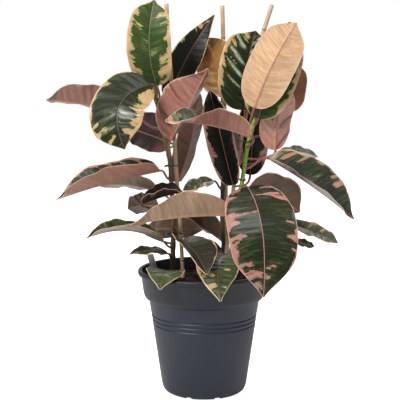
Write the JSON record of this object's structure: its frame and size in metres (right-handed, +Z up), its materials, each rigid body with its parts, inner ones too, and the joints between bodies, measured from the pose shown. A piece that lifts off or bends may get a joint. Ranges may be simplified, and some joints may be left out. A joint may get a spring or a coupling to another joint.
{
  "type": "potted rubber plant",
  "caption": "Potted rubber plant with staked stems and broad variegated oval leaves, in a round nursery pot with a banded rim and drain notches at its foot.",
  "frame": {"origin": "centre of the pot's underside, where it stands", "axes": "+Z up, -Y towards the viewer of the picture, +X to the viewer's right"},
  "size_m": [0.5451, 0.2806, 0.7064],
  "materials": {
    "pot_plastic": "satin, injection moulded, anthracite",
    "soil": "damp peat and bark crumbs",
    "label_plastic": "matt sheet plastic, bare",
    "green_stem": "smooth green bark",
    "brown_stem": "brown and olive bark",
    "bud_skin": "rosy red sheath, satin",
    "bamboo": "pale cane, satin",
    "tie_plastic": "dark green coated wire",
    "leaf_skin": "waxy, variegated dark green, grey green, cream and pink above, rose brown below"
  },
  "bodies": {
    "root": {"pot": "pot_plastic", "soil": "soil", "plant_label": "label_plastic", "stem_left": "brown_stem", "stem_back": "brown_stem", "stem_right": "green_stem", "stake_left": "bamboo", "stake_back": "bamboo", "stake_right": "bamboo", "bud_sheath_left": "bud_skin", "bud_sheath_back": "bud_skin", "bud_sheath_right": "bud_skin", "tie_left_upper": "tie_plastic", "tie_left_lower": "tie_plastic", "tie_right_upper": "tie_plastic", "tie_right_lower": "tie_plastic", "tie_back_upper": "tie_plastic", "leaf_left_crown_upright": "leaf_skin", "leaf_left_crown_hanging": "leaf_skin", "leaf_left_far_upper": "leaf_skin", "leaf_left_shaded": "leaf_skin", "leaf_left_crown_back": "leaf_skin", "leaf_centre_upright_front": "leaf_skin", "leaf_centre_upright_back": "leaf_skin", "leaf_back_crown_olive": "leaf_skin", "leaf_right_crown_splashed": "leaf_skin", "leaf_right_crown_peach": "leaf_skin", "leaf_right_crown_inner": "leaf_skin", "leaf_right_outer_upper": "leaf_skin", "leaf_right_outer_middle": "leaf_skin", "leaf_right_inner_dark": "leaf_skin", "leaf_centre_crossing": "leaf_skin", "leaf_centre_dark": "leaf_skin", "leaf_centre_grey": "leaf_skin", "leaf_right_long": "leaf_skin", "leaf_right_small_back": "leaf_skin", "leaf_front_large": "leaf_skin", "leaf_right_under": "leaf_skin", "leaf_right_lower": "leaf_skin", "leaf_right_lower_small": "leaf_skin", "leaf_left_long": "leaf_skin", "leaf_left_long_back": "leaf_skin", "leaf_centre_cream_edge": "leaf_skin", "leaf_centre_small_splashed": "leaf_skin", "leaf_centre_long_tan": "leaf_skin", "leaf_left_round_back": "leaf_skin", "leaf_left_lower_arched": "leaf_skin", "leaf_left_lower_back": "leaf_skin", "leaf_back_lower_olive": "leaf_skin", "leaf_left_lower_twisted": "leaf_skin", "leaf_front_left_rim": "leaf_skin", "leaf_front_right_rim": "leaf_skin", "leaf_front_folded": "leaf_skin", "leaf_front_striped": "leaf_skin"}
  },
  "joints": []
}
